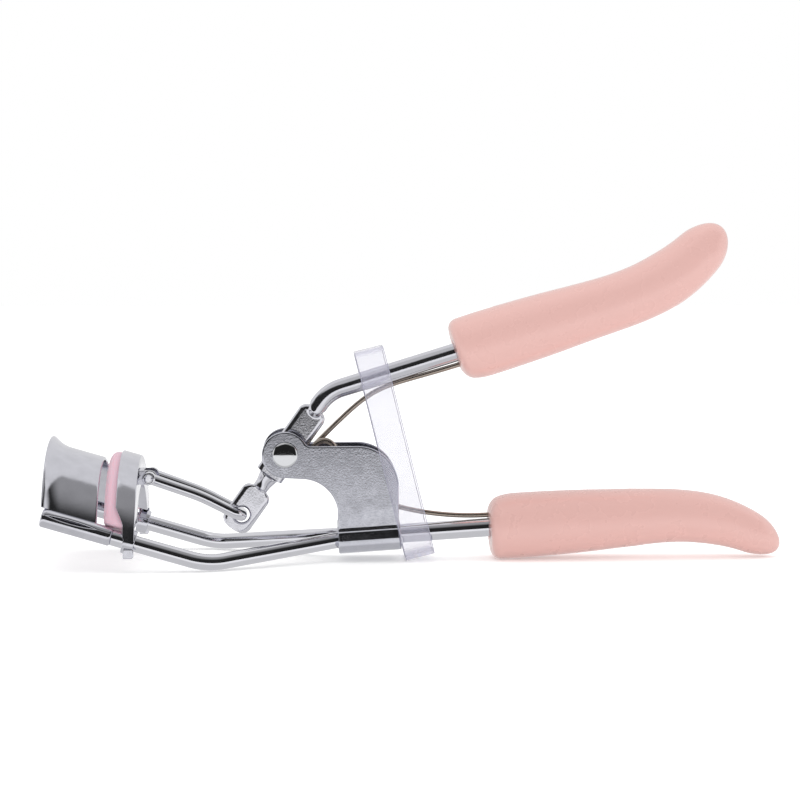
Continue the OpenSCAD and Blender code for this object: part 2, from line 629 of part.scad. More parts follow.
front_jaw();
rail_left();
rail_right();
bracket();
handle_rod();
lower_grip();
pivot_rivet();
spacer_left();
spacer_right();
lever_arm();
upper_grip();
return_spring();
moving_jaw();
silicone_pad();
hinge_lug();
yoke_pin();
yoke_wire();
retainer_band();
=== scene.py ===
import json
import math
import bmesh
import bpy
import numpy as np
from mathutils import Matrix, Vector


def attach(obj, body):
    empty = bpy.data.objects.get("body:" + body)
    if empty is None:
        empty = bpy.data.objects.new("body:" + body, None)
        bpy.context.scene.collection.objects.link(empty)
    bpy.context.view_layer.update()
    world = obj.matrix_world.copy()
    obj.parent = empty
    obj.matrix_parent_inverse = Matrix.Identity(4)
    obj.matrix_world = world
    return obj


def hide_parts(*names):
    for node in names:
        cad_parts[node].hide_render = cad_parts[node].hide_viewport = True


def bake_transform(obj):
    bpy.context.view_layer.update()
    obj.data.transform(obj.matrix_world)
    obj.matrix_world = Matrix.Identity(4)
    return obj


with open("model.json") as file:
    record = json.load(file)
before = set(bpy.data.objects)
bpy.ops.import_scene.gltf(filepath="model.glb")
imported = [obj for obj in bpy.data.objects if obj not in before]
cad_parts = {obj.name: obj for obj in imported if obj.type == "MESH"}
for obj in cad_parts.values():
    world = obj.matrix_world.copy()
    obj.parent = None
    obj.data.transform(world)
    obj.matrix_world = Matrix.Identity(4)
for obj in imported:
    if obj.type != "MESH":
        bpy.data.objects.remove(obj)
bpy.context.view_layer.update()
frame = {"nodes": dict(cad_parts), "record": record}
scene = bpy.context.scene
scene.view_settings.view_transform = "Standard"

# ===== rails ===============================================================================
# Two side rails of 2.7 mm drawn steel wire, bent cold and bright chrome plated. Their necked front
# ends sit in the front jaw's rolled edges, and their rear ends are crimped beside the handle rod.
MM = 0.001                                 # shapes are worked out in millimetres
joint = {j["name"]: j for j in frame["record"]["behaviour"]["joints"]}
pivot = np.array(joint["lever_pivot"]["pos_m"]) / MM
rail_dir = -np.array(joint["jaw_slide"]["axis"])
rail_tilt = math.atan2(-rail_dir[2], rail_dir[0])
rail_y, rail_d, rail_bend_r, rail_rear_len, rail_rise = 14.0, 2.7, 9.0, 21.5, 2.4
rod_d, crimp_len, lower_angle = 3.2, 10.6, math.radians(3.7)
pivot_h, pivot_ahead = 14.25, 14.2
press_edge_x, front_jaw_len, curl_over = 17.8, 9.0, 2.3
curl_d, curl_bore = rail_d + 0.4, rail_d - 0.5


def unit(v):
    """v / |v|, for one vector or for rows of them."""
    return v / np.linalg.norm(v, axis=-1, keepdims=True)


def slope(a):
    """Direction (cos a, 0, sin a) in the plane of the side view."""
    return np.array([math.cos(a), 0.0, math.sin(a)])


lower_dir = slope(lower_angle)
crimp = pivot + np.array([pivot_ahead, 0, -pivot_h])
rail_in = np.array([crimp[0] - crimp_len / 2, rod_d / 2 + rail_d / 2 + 0.02,
                    crimp[2] - crimp_len / 2 * math.sin(lower_angle)])
rail_bend = rail_in + np.array([-rail_rear_len, rail_y - rail_in[1], -rail_rise])
rail_front = rail_bend - rail_dir * (press_edge_x + front_jaw_len) / math.cos(rail_tilt)
curl_end = rail_front + rail_dir * (front_jaw_len + curl_over) / math.cos(rail_tilt)


def linear(colour):
    """Linear RGBA of an sRGB hex colour: c / 12.92 when dark, ((c + 0.055) / 1.055) ^ 2.4 above."""
    parts = [int(colour[i:i + 2], 16) / 255 for i in (0, 2, 4)]
    return [p / 12.92 if p <= 0.04045 else ((p + 0.055) / 1.055) ** 2.4 for p in parts] + [1.0]


def add(tree, kind, inputs=(), **settings):
    """Adds a shader node; inputs maps each socket to a value or to another node's output."""
    made = tree.nodes.new("ShaderNode" + kind)
    for key, value in settings.items():
        setattr(made, key, value)
    for key, value in dict(inputs).items():
        if isinstance(value, bpy.types.NodeSocket):
            tree.links.new(value, made.inputs[key])
        else:
            made.inputs[key].default_value = value
    return made


def finish(name, sockets, slot, grit, depth, rough, mottle, fade=0.93):
    """A material with its values on the shader, and one pattern of real size: noise of grit mm that
    dents the surface by depth mm and moves its roughness, and clouds of mottle mm that fade it."""
    material = bpy.data.materials.new(name)
    material.use_nodes = True
    tree = material.node_tree
    shader = tree.nodes["Principled BSDF"]
    for key, value in sockets.items():
        shader.inputs[key].default_value = value
    place = add(tree, "TexCoord").outputs["Object"]
    fine = add(tree, "TexNoise", {"Vector": place, "Scale": 1 / (grit * MM), "Detail": 3.0}).outputs["Fac"]
    cloud = add(tree, "TexNoise", {"Vector": place, "Scale": 1 / (mottle * MM), "Detail": 2.0}).outputs["Fac"]
    both = add(tree, "Math", {0: fine, 1: cloud}, operation="MULTIPLY").outputs[0]
    spread = add(tree, "MapRange", {"Value": both, "From Min": 0.1, "From Max": 0.45,
                                    "To Min": rough[0], "To Max": rough[1]}).outputs[0]
    tree.links.new(spread, shader.inputs["Roughness"])
    dents = add(tree, "Bump", {"Height": fine, "Distance": depth * MM, "Strength": 1.0}).outputs["Normal"]
    tree.links.new(dents, shader.inputs["Normal"])
    material["slot"] = slot
    shade = add(tree, "MixRGB", {"Fac": cloud, "Color1": sockets["Base Color"],
                                 "Color2": [c * fade for c in sockets["Base Color"][:3]] + [1.0]}).outputs[0]
    tree.links.new(shade, shader.inputs["Base Color"])
    return material


# Drawn wire under bright chrome: a clean mirror with only faint unevenness, so every band stays crisp
wire_chrome = finish("bright chrome on drawn wire", {"Base Color": linear("e6e6ec"), "Metallic": 1.0},
                     "wire_chrome", grit=1.2, depth=0.002, rough=(0.04, 0.1), mottle=6.0)


def skin(points, closed=(False, True)):
    """Corners and quads of a surface given as rows of points; closed says which ways it joins up."""
    rows, cols = points.shape[:2]
    i, j = np.meshgrid(np.arange(rows - (not closed[0])), np.arange(cols - (not closed[1])), indexing="ij")
    down, right = (i + 1) % rows, (j + 1) % cols
    quads = np.stack([i * cols + j, i * cols + right, down * cols + right, down * cols + j], axis=-1)
    return points.reshape(-1, 3), quads.reshape(-1, 4).tolist()


def build(name, surfaces, body, material, stands_for=(), sharp=40):
    """One mesh of closed surfaces in millimetres. It is smooth, but for edges sharper than sharp
    degrees and for faces with many corners, which are the flat ends of a plate."""
    corners, faces = [], []
    for points, quads in surfaces:
        start = sum(len(c) for c in corners)
        corners.append(points)
        faces += [[start + k for k in q] for q in quads]
    mesh = bpy.data.meshes.new(name)
    mesh.from_pydata(np.vstack(corners) * MM, [], faces)
    work = bmesh.new()
    work.from_mesh(mesh)
    bmesh.ops.remove_doubles(work, verts=work.verts, dist=1e-7)
    bmesh.ops.dissolve_degenerate(work, edges=work.edges, dist=1e-8)
    bmesh.ops.recalc_face_normals(work, faces=work.faces)
    work.to_mesh(mesh)
    work.free()
    mesh.shade_smooth()
    mesh.set_sharp_from_angle(angle=math.radians(sharp))
    count = np.empty(len(mesh.polygons), np.int32)
    mesh.polygons.foreach_get("loop_total", count)
    mesh.polygons.foreach_set("use_smooth", count <= 4)
    mesh.materials.append(material)
    piece = bpy.data.objects.new(name, mesh)
    scene.collection.objects.link(piece)
    if body:
        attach(piece, body)
    if stands_for:
        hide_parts(*stands_for)
    return piece


def bent(points, radii, step=0.4):
    """Middle line of a bent wire: each inner corner is the arc c + r (m cos a + t sin a)."""
    points = [np.asarray(p, float) for p in points]
    line = [points[0][None]]
    for before, p, after, r in zip(points, points[1:], points[2:], radii):
        u, v = unit(p - before), unit(after - p)
        turn = math.acos(np.clip(u @ v, -1, 1))
        m, t = unit(u - v), unit(u + v)
        a = np.linspace(-turn / 2, turn / 2, max(5, int(r * turn / step)))[:, None]
        line.append(p - m * r / math.cos(turn / 2) + r * (m * np.cos(a) + t * np.sin(a)))
    return np.vstack(line + [points[-1][None]])


def tube(path, radius, ref=(0.0, 1.0, 0.0), sides=48, edge=0.2):
    """Skin of a round bar, p(s) + r(s) (n cos a + b sin a), n being ref made square to the path;
    each end is rounded over by edge and closed at its pole."""
    path = np.asarray(path, float)
    radius = np.broadcast_to(radius, len(path)).astype(float)
    ahead = unit(np.gradient(path, axis=0))
    q = np.linspace(math.pi / 2, 0, 5)[:, None]
    lead = [path[:1], path[0] + ahead[0] * edge * (1 - np.sin(q))]
    tail = [(path[-1] - ahead[-1] * edge * (1 - np.sin(q)))[::-1], path[-1:]]
    trim = edge * (1 - np.cos(q[:, 0]))
    rows = np.vstack(lead + [path[1:-1]] + tail)
    r = np.concatenate([[0], radius[0] - trim, radius[1:-1], (radius[-1] - trim)[::-1], [0]])
    t = np.vstack([ahead[:1]] * 6 + [ahead[1:-1]] + [ahead[-1:]] * 6)
    n = unit(np.asarray(ref) - (t @ np.asarray(ref))[:, None] * t)
    a = np.linspace(0, 2 * math.pi, sides, endpoint=False)[None, :, None]
    ring = np.cos(a) * n[:, None] + np.sin(a) * np.cross(t, n)[:, None]
    return skin(rows[:, None] + r[:, None, None] * ring)


for side, name in ((-1, "rail_left"), (1, "rail_right")):
    flip = np.array([1, side, 1])
    necked = curl_end - rail_dir * 1.2
    line = bent([necked, rail_bend, rail_in, rail_in + crimp_len * lower_dir], [rail_bend_r, 6.0])
    line = np.insert(line, 1, [curl_end - rail_dir * 0.1, curl_end + rail_dir * 0.1], axis=0)
    thick = np.full(len(line), rail_d / 2)
    thick[:2] = curl_bore / 2
    build(name.replace("rail", "rail_wire"), [tube(line * flip, thick)], "frame", wire_chrome, [name])

# ===== front jaw ===========================================================================
# Pressed steel sheet, 0.6 mm, arched, flared to a lip in front and rolled round both rails at its
# ends. It is polished and chrome plated, so it mirrors, with the slight waves that pressing leaves.
arch_h, plate_t, lip_flare, lip_len = 10.8, 0.6, 1.1, 2.9
arch_r = (rail_y ** 2 + arch_h ** 2) / (2 * arch_h)
arch_centre = rail_bend[2] + arch_h - arch_r
arch_half = math.asin(rail_y / arch_r)
press_x = rail_bend[0] - press_edge_x

# Chrome over pressed sheet: a mirror whose slow waves and faint clouds break up what it reflects
jaw_chrome = finish("polished chrome on pressed sheet", {"Base Color": linear("e0e0e8"), "Metallic": 1.0},
                    "jaw_chrome", grit=3.0, depth=0.022, rough=(0.07, 0.17), mottle=2.2, fade=0.8)


def arched(section, angles):
    """A section of (x, radius) points carried round the arch: y = radius sin a, and
    z = centre + radius cos a, where the centre falls along X as the rails do."""
    x, radius = section[..., 0], section[..., 1]
    a = angles[:, None]
    z = arch_centre + radius * np.cos(a) + (rail_bend[0] - x) * math.tan(rail_tilt)
    return np.stack(np.broadcast_arrays(x, radius * np.sin(a), z), axis=-1)


def ribbon(line, half, turns=5):
    """Closed outline of a strip: p + h n on one side, p - h n on the other, half circles at its ends."""
    t = unit(np.gradient(line, axis=0))
    n = np.stack([-t[:, 1], t[:, 0]], axis=1)
    a = np.linspace(0, math.pi, turns + 2)[1:-1, None]
    tail = line[-1] + half * (n[-1] * np.cos(a) + t[-1] * np.sin(a))
    head = line[0] - half * (n[0] * np.cos(a) + t[0] * np.sin(a))
    return np.vstack([line + half * n, tail, (line - half * n)[::-1], head])


# The lip rises as lip_flare (1 - x / lip_len)^2; the sheet's half round edges take 0.3 mm at each end
along_x = np.linspace(0, 1, 40)
flare = lip_flare * np.maximum(1 - along_x * front_jaw_len / lip_len, 0) ** 2
plate_x = press_x - front_jaw_len + 0.31 + along_x * (front_jaw_len - 0.66)
plate_line = np.stack([plate_x, arch_r + flare], axis=1)
plate_end = arch_half - math.asin((curl_d / 2 - 0.1) / arch_r)
turns = np.linspace(-plate_end, plate_end, 181)
plate = arched(ribbon(plate_line, plate_t / 2 - 0.01), turns)
flat_end = arched(ribbon(plate_line, 1e-6), turns[[0, -1]])
plate = np.concatenate([flat_end[:1], plate, flat_end[1:]])


def rolled_edge(side):
    """The sheet's end rolled to a C round the rail at 1.3 mm. Its slit shows as a long loop that
    opens to 20 degrees each way in the middle, and both ends of the roll are bevelled."""
    out = np.array([0, side, 0.0])
    up = np.cross(rail_dir, out) * side
    length = (front_jaw_len + curl_over) / math.cos(rail_tilt)
    middle, half = (curl_d + curl_bore) / 4, (curl_d - curl_bore) / 4
    runs = np.concatenate([[0, 0, 0.08, 0.3], np.linspace(0.6, length - 0.5, 46),
                           length - np.array([0.3, 0.08, 0, 0])])
    thick = np.full(len(runs), half)
    thick[[0, -1]] = 1e-6
    thick[[1, -2]] = half - 0.14
    thick[[2, -3]] = half - 0.06
    start = rail_front * np.array([1, side, 1])
    grid = []
    for s, h in zip(runs, thick):
        bevel = 0.1 * max(1 - s / 0.3, 0) + 0.06 * max(1 - (length - s) / 0.3, 0)
        open_by = np.clip((s - 0.5) / 8.8, 0, 1)
        gap = math.radians(2.5 + 18 * math.sin(math.pi * open_by) ** 0.7)
        a = np.linspace(math.radians(30) + gap, math.radians(30) - gap + 2 * math.pi, 72)
        line = (middle - bevel) * np.stack([np.cos(a), np.sin(a)], axis=1)
        grid.append(start + rail_dir * s + ribbon(line, h) @ np.stack([out, up]))
    return skin(np.stack(grid))


build("front_jaw_sheet", [skin(plate), rolled_edge(-1), rolled_edge(1)], "frame", jaw_chrome, ["front_jaw"])

# ===== moving jaw ==========================================================================
# Sheet pressed to an arched channel that holds the pad. Its ends draw in to legs, and each leg is
# curled to an eye that slides on a rail, with a small tab left below it; polished and chromed.
jaw_gap, pad_h, pad_proud, channel_depth, channel_t = 0.95, 3.8, 2.1, 3.1, 0.5
nose_x = press_x + jaw_gap
channel_x = nose_x + pad_proud
back_x = channel_x + channel_depth
eye_len, eye_gap, eye_wall, leg_t = 1.9, 0.08, 0.65, 0.8
leg_x = back_x - eye_len
jaw_high, jaw_low = arch_r + pad_h / 2 + channel_t, arch_r - pad_h / 2 - channel_t
jaw_end, leg_turn = arch_half - math.radians(17), math.radians(9)


def eased(corners, r, steps=5):
    """Closed outlines with each corner p rounded: (1-t)^2 a + 2t(1-t) p + t^2 b, a and b being r away."""
    ends = []
    for way in (1, -1):
        gap = np.roll(corners, way, axis=-2) - corners
        size = np.linalg.norm(gap, axis=-1, keepdims=True)
        ends.append(corners + gap * np.minimum(r, 0.45 * size) / np.maximum(size, 1e-9))
    t = np.linspace(0, 1, steps)[:, None]
    a, p, b = ends[0][..., None, :], corners[..., None, :], ends[1][..., None, :]
    curve = (1 - t) ** 2 * a + 2 * t * (1 - t) * p + t ** 2 * b
    return curve.reshape(corners.shape[:-2] + (-1, 2))


def channel_section(s):
    """The channel (s = 0) draws back to a plain leg (s = 1): its mouth closes from the front."""
    front = channel_x + s * (leg_x - channel_x)
    low = jaw_low + s * (jaw_high - leg_t - jaw_low)
    middle = (jaw_high + low) / 2
    high = np.full_like(s, jaw_high)
    top = middle + 0.2 + (1 - s) * (pad_h / 2 - 0.2)
    pocket = front + (1 - s) * (back_x - channel_t - front)
    back = np.full_like(s, back_x)
    pinch = 0.1 * s
    points = [(front, low), (back, low), (back, high), (front, high), (front, top), (pocket, top - pinch),
              (pocket, 2 * middle - top + pinch), (front, 2 * middle - top)]
    return np.stack([np.stack(p, axis=-1) for p in points], axis=-2)


turns = np.linspace(-arch_half, arch_half, 221)
drawn = np.clip((np.abs(turns) - jaw_end) / leg_turn, 0, 1)
channel = arched(eased(channel_section(drawn), 0.16), turns)
closing = channel[[0, -1]].mean(axis=1, keepdims=True) + 0 * channel[[0, -1]]
channel = np.concatenate([closing[:1], channel, closing[1:]])


def lathe(at, axis, profile, ref=(1.0, 0.0, 0.0), sides=64, loop=False):
    """Skin turned round an axis: at + d axis + r (n cos a + b sin a) for each (d, r) of the profile."""
    axis = unit(np.asarray(axis, float))
    n = unit(np.asarray(ref) - (axis @ np.asarray(ref)) * axis)
    a = np.linspace(0, 2 * math.pi, sides, endpoint=False)[None, :, None]
    profile = np.asarray(profile, float)
    ring = np.cos(a) * n + np.sin(a) * np.cross(axis, n)
    return skin(at + profile[:, :1, None] * axis + profile[:, 1:, None] * ring, closed=(loop, True))


def slab(outline, y0, y1, edge, origin=(0.0, 0.0, 0.0)):
    """A plate with an (x, z) outline between two Y planes, its edges rounded over by edge."""
    t = unit(np.roll(outline, -1, axis=0) - np.roll(outline, 1, axis=0))
    inward = np.stack([-t[:, 1], t[:, 0]], axis=1)
    x, z = outline.T
    if np.sum(x * np.roll(z, -1) - z * np.roll(x, -1)) < 0:
        inward = -inward
    rows = []
    for q in np.linspace(0, math.pi / 2, 5):
        rows.append((edge * (1 - math.sin(q)), y0 + edge * (1 - math.cos(q))))
    rows += [(inset, y0 + y1 - y) for inset, y in rows[::-1]]
    grid = []
    for inset, y in rows:
        p = outline + inward * inset
        grid.append(np.stack([p[:, 0], np.full(len(p), y), p[:, 1]], axis=1) + origin)
    points, quads = skin(np.stack(grid))
    count = len(outline)
    caps = [list(range(count)), list(range(count * (len(rows) - 1), count * len(rows)))]
    return points, quads + caps


def rim(r_in, r_out, length, edge):
    """Closed (d, r) profile of a ring with rounded edges."""
    corners = np.array([(0, r_in), (length, r_in), (length, r_out), (0, r_out)], float)
    return eased(corners, edge)


surfaces = [skin(channel)]
for side in (-1, 1):
    centre = (rail_bend - rail_dir * (rail_bend[0] - leg_x) / math.cos(rail_tilt)) * np.array([1, side, 1])
    bore = rail_d / 2 + eye_gap
    surfaces.append(lathe(centre, rail_dir, rim(bore, bore + eye_wall, eye_len, 0.18), loop=True))
    tab = np.array([(0.05, -1.2), (0.0, -2.8), (1.35, -2.8), (1.75, -2.6), (1.72, -1.2)])
    outer = centre[1] + side * (bore + eye_wall)
    y0, y1 = sorted((outer, outer - side * 0.7))
    surfaces.append(slab(eased(tab, 0.25), y0, y1, 0.15, origin=(centre[0], 0, centre[2])))
build("moving_jaw_channel", surfaces, "jaw", jaw_chrome, ["moving_jaw"])


def coat(node, material):
    """Gives a CAD node its material."""
    for place in frame["nodes"][node].material_slots:
        place.material = material


coat("hinge_lug", jaw_chrome)

# ===== pad =================================================================================
# Refill pad moulded in pink silicone with a round nose, pushed into the channel by hand. Silicone
# lets a little light in, so its shaded ends are a deeper pink.
pad_past, pad_end_turn = math.radians(10.5), 0.045      # how far it runs on into the legs, and its rounding

# Silicone from a fine mould: a soft satin without clear reflections, pale where light comes through
pad_silicone = finish("pink silicone, satin from the mould",
                      {"Base Color": linear("d6b2bf"), "Subsurface Weight": 0.25,
                       "Subsurface Radius": (0.004, 0.0015, 0.0015), "Subsurface Scale": 0.4,
                       "Specular IOR Level": 0.4}, "pad_silicone",
                      grit=0.35, depth=0.004, rough=(0.38, 0.52), mottle=3.0)
pad_stop = jaw_end + pad_past
turns = np.linspace(-pad_stop, pad_stop, 181)
drawn = np.clip((np.abs(turns) - jaw_end) / leg_turn, 0, 1)[:, None]
a = np.linspace(math.pi / 2, -math.pi / 2, 25)[None, :]
last_bit = np.clip(1 - (pad_stop - np.abs(turns)) / pad_end_turn, 0, 1)
taper = np.sqrt(1 - last_bit ** 2)[:, None]
half = pad_h / 2 * (0.72 + 0.28 * taper) - 0.02
# The nose is half an ellipse, and the pad's back follows the channel's floor out to its legs
nose_line = nose_x + 0.05 + 0.3 * (1 - taper) + pad_h * 0.4 * (1 - np.cos(a))
nose = np.stack([nose_line, arch_r + half * np.sin(a)], axis=-1)
seat = channel_x + drawn * (leg_x - channel_x) + (1 - drawn) ** 2 * (channel_depth - channel_t) - 0.03
low = np.stack([seat, arch_r - half], axis=-1)
high = np.stack([seat, arch_r + half], axis=-1)
pad = arched(np.concatenate([nose, low, high], axis=1), turns)
closing = pad[[0, -1]].mean(axis=1, keepdims=True) + 0 * pad[[0, -1]]
build("silicone_refill_pad", [skin(np.concatenate([closing[:1], pad, closing[1:]]))], "jaw", pad_silicone,
      ["silicone_pad"])

# ===== yoke ================================================================================
# A U of 1.9 mm wire with an eye pressed on each end. The eyes turn on a peened pin in the moving
# jaw's lug, and the closed end hangs in the lever's hole; bright chrome like the rails.
yoke_pin = np.array(joint["yoke_hinge"]["pos_m"]) / MM
lever_reach, lever_angle = 12.85, math.radians(54.8)
lever_dir = slope(lever_angle)
hook = pivot - lever_reach * lever_dir
yoke_d, yoke_y, hook_y, eye_barrel_d = 1.87, 4.0, 2.7, 2.27
reach = hook - yoke_pin
arched_up = np.array([-reach[2], 0, reach[0]]) / np.linalg.norm(reach)
mid = yoke_pin + 0.55 * reach + 0.55 * arched_up
mid_y = yoke_y + 0.55 * (hook_y - yoke_y)
Y = np.array([0, 1.0, 0])
corners = [yoke_pin - yoke_y * Y, mid - mid_y * Y, hook - hook_y * Y, hook + hook_y * Y, mid + mid_y * Y,
           yoke_pin + yoke_y * Y]
surfaces = [tube(bent(corners, [30, 1.55, 1.55, 30], step=0.25), yoke_d / 2, ref=(0, 0, 1.0), edge=0.5)]
for side in (-1, 1):
    at = yoke_pin + (side * yoke_y - 0.98) * Y
    surfaces.append(lathe(at, Y, rim(0.5, eye_barrel_d / 2, 1.96, 0.45), loop=True))
build("yoke_with_eyes", surfaces, "yoke", wire_chrome, ["yoke_wire"])
coat("yoke_pin", wire_chrome)

# ===== lever ===============================================================================
# One 3.2 mm steel rod, pressed flat twice in a die: once for the rivet's hole and once for the
# hole that the yoke hangs in, with a neck between. It is tumbled, then chromed, so its flats are
# softly grained while the round rod still mirrors.
neck_d, hook_flat_t, flat_t, flat_w = 2.7, 1.6, 1.8, 5.0
step_q, flat_top_q, hook_top_q, hook_end_q = -4.9, 9.2, 5.4 - lever_reach, -lever_reach - 2.9
lever_bend, lever_bend_r, upper_angle = 12.6, 7.0, math.radians(17.2)
upper_grip_at, rod_in_grip = 32.7, 30.0
upper_dir = slope(upper_angle)
upper_left = np.array([-upper_dir[2], 0, upper_dir[0]])
upper_bend = pivot + lever_bend * lever_dir
upper_start = pivot + upper_grip_at * upper_dir + ((upper_bend - pivot) @ upper_left) * upper_left
hook_hole_d = 2.65

# Tumbling leaves fine dimples under the chrome, so its flats look satin and its round rod mirrors
lever_chrome = finish("tumbled chrome on forged rod", {"Base Color": linear("e0e0e7"), "Metallic": 1.0},
                      "lever_chrome", grit=0.3, depth=0.006, rough=(0.07, 0.15), mottle=1.4)


def smooth(t):
    """3 t^2 - 2 t^3 between 0 and 1."""
    t = np.clip(t, 0, 1)
    return t * t * (3 - 2 * t)


def respaced(path, step):
    """The same line with its points a step apart along it."""
    run = np.r_[0, np.cumsum(np.linalg.norm(np.diff(path, axis=0), axis=1))]
    at = np.linspace(0, run[-1], int(run[-1] / step) + 1)
    return np.stack([np.interp(at, run, path[:, k]) for k in range(3)], axis=1), at


def shoulder(gap, r):
    """How much a flat narrows at a distance gap from its end: r - sqrt(r^2 - (r - gap)^2)."""
    gap = np.clip(gap, 0, r)
    return r - np.sqrt(np.maximum(r * r - (r - gap) ** 2, 0))


line = bent([pivot + hook_end_q * lever_dir, upper_bend, upper_start + (rod_in_grip - 2) * upper_dir],
            [lever_bend_r], step=0.2)
line, run = respaced(line, 0.16)
q = (run + hook_end_q)[:, None]
a = np.linspace(0, 2 * math.pi, 72, endpoint=False)[None, :]
cos, sin = np.cos(a), np.sin(a)
is_hook = q < (hook_top_q + step_q) / 2
half_w = np.where(is_hook, flat_w / 2 + 0.15, flat_w / 2)
half_w = half_w - np.where(is_hook, shoulder(q - hook_end_q, 1.7) + shoulder(hook_top_q - q, 1.5),
                           shoulder(flat_top_q - q, 1.6))
half_t = np.where(is_hook, hook_flat_t / 2, flat_t / 2)
side_angle, side_round = math.radians(36), 0.8
quarter = np.arcsin(np.clip(np.abs(sin), 0, 1))
turn = np.clip(quarter / side_angle, 0, 1) * math.pi / 2
inward = np.clip((quarter - side_angle) / (math.pi / 2 - side_angle), 0, 1)
flat_u = np.sign(cos) * ((half_w - side_round) * (1 - inward) + side_round * np.cos(turn))
flat_y = half_t * np.sign(sin) * np.sin(turn)
neck = smooth((q - hook_top_q) / 0.5 + 0.6) * smooth((step_q - q) / 0.16 + 0.9)
nose_q = flat_top_q - 0.3
rod = smooth((q + 1.3 * np.abs(sin) ** 1.5 - nose_q) / 0.9)
flared_neck = 0.4 * smooth((q - hook_top_q - 0.6) / 2.4)
radius = np.where(q > 0, rod_d / 2, neck_d / 2 + flared_neck)
share = np.maximum(neck, rod)
u = flat_u * (1 - share) + radius * cos * share
y = flat_y * (1 - share) + radius * sin * share
t = unit(np.gradient(line, axis=0))
n = np.stack([-t[:, 2], np.zeros(len(t)), t[:, 0]], axis=1)
arm = line[:, None] + u[..., None] * n[:, None] + y[..., None] * Y
tips = arm[[0, -1]].mean(axis=1, keepdims=True) + 0 * arm[[0, -1]]
inner = 0.5 * arm[[0, -1]] + 0.5 * tips
arm = np.concatenate([tips[:1], inner[:1], arm, inner[1:], tips[1:]])
lever = build("lever_rod", [skin(arm)], "lever", lever_chrome, ["lever_arm"])
# The hole is drilled, and its rim broken, with a cutter that flares at both faces
rim_line = [(1.2, 0.85), (0.82, 0.38), (0.72, 0.24), (0.6, 0.1), (0.42, 0.0)]
flared = ([(-1.2, 0)] + [(-d, hook_hole_d / 2 + r) for d, r in rim_line]
          + [(d, hook_hole_d / 2 + r) for d, r in rim_line[::-1]] + [(1.2, 0)])
cutter = build("cutter", [lathe(hook, Y, flared, sides=64)], "lever", lever_chrome)
hole = lever.modifiers.new("hole", "BOOLEAN")
hole.object = cutter
hole.solver = "EXACT"
drilled = bpy.data.meshes.new_from_object(lever.evaluated_get(bpy.context.evaluated_depsgraph_get()))
lever.modifiers.clear()
lever.data = drilled
drilled.shade_smooth()
drilled.set_sharp_from_angle(angle=math.radians(35))
bpy.data.objects.remove(cutter)

# ===== bracket =============================================================================
# One sheet of 0.8 mm steel folded to two cheeks for the rivet and pressed round both rails and the
# rod as a crimp. It is tumbled before plating, which leaves a fine soft grain on its broad faces.
cheek_in = rail_in[1] + rail_d / 2
bracket_t, ear_r, top_z, shoulder_r, hollow_r, fillet_r = 0.8, 3.9, 1.45, 6.8, 6.2, 1.2
crimp_proud, crimp_slope, crimp_power, fold_line = 0.22, 0.085, 3.2, 1.4
cheek_out = cheek_in + bracket_t
rear_x = pivot_ahead + crimp_len / 2 - 0.4
foot_x = pivot_ahead - crimp_len / 2
floor_z = 1.4 - pivot_h

# Tumbled chrome: a fine grain all over, with soft clouds where the plating lies thicker
bracket_chrome = finish("tumbled chrome on folded sheet", {"Base Color": linear("d0d1da"), "Metallic": 1.0},
                        "bracket_chrome", grit=0.28, depth=0.0055, rough=(0.08, 0.2), mottle=2.0, fade=0.85)


def arc(centre, r, start, stop, step=0.3):
    """Points centre + r (cos a, sin a) from start to stop degrees."""
    count = max(3, int(abs(math.radians(stop - start)) * r / step))
    a = np.radians(np.linspace(start, stop, count))[:, None]
    return np.asarray(centre) + r * np.hstack([np.cos(a), np.sin(a)])


fillet_x = math.sqrt((ear_r + fillet_r) ** 2 - (top_z + fillet_r) ** 2)
lean = math.degrees(math.atan2(top_z + fillet_r, fillet_x))
hollow = (foot_x - hollow_r, -ear_r - 0.15 - hollow_r)
outline = np.vstack([
    arc((fillet_x, top_z + fillet_r), fillet_r, 180 + lean, 270, 0.15),
    arc((rear_x - shoulder_r, top_z - shoulder_r), shoulder_r, 90, 0),
    [(rear_x, floor_z), (foot_x, floor_z)],
    arc(hollow, hollow_r, 0, 90),
    arc((0, 0), ear_r, 270, lean + 1)])


def crimp_skin():
    """The crimp's section: above the rod its sides lean in by crimp_slope v, with a pressed line at
    fold_line; below it they curve in, |y / b|^n + |v / a|^n = 1. Its ends are drawn in."""
    high = rod_d / 2 + bracket_t + 0.1
    v = high * np.sin(np.linspace(math.pi / 2, -math.pi / 2, 121))
    side = cheek_out + crimp_proud
    corner = 0.5 * (1 - np.sqrt(1 - np.clip((v - high + 0.5) / 0.5, 0, 1) ** 2))
    above = side - crimp_slope * v - corner - 0.05 * np.exp(-((v - fold_line) / 0.09) ** 2)
    below = side * (1 - np.clip(-v / high, 0, 1) ** crimp_power) ** (1 / crimp_power)
    y = np.where(v > 0, above, below)
    outline = np.vstack([np.stack([v, y], axis=1), np.stack([v, -y], axis=1)[::-1]])
    start = np.array([0, 0, 0.06, 0.2, 0.45, 2, 5])
    s = np.concatenate([start, crimp_len - start[-2::-1]])[:, None] - crimp_len / 2
    drawn_in = np.array([0, 0.95, 0.975, 0.99, 0.998, 1, 0.998])
    scale = np.concatenate([drawn_in, drawn_in[-2::-1]])[:, None]
    v, y = scale * outline[:, 0], scale * outline[:, 1]
    return skin(crimp + s[..., None] * lower_dir + v[..., None] * lower_left + y[..., None] * Y)


lower_left = np.array([-lower_dir[2], 0, lower_dir[0]])
surfaces = [crimp_skin()]
for side in (-1, 1):
    surfaces.append(slab(outline, *sorted((side * cheek_in, side * cheek_out)), 0.3, origin=pivot))
build("bracket_and_crimp", surfaces, "frame", bracket_chrome, ["bracket"])

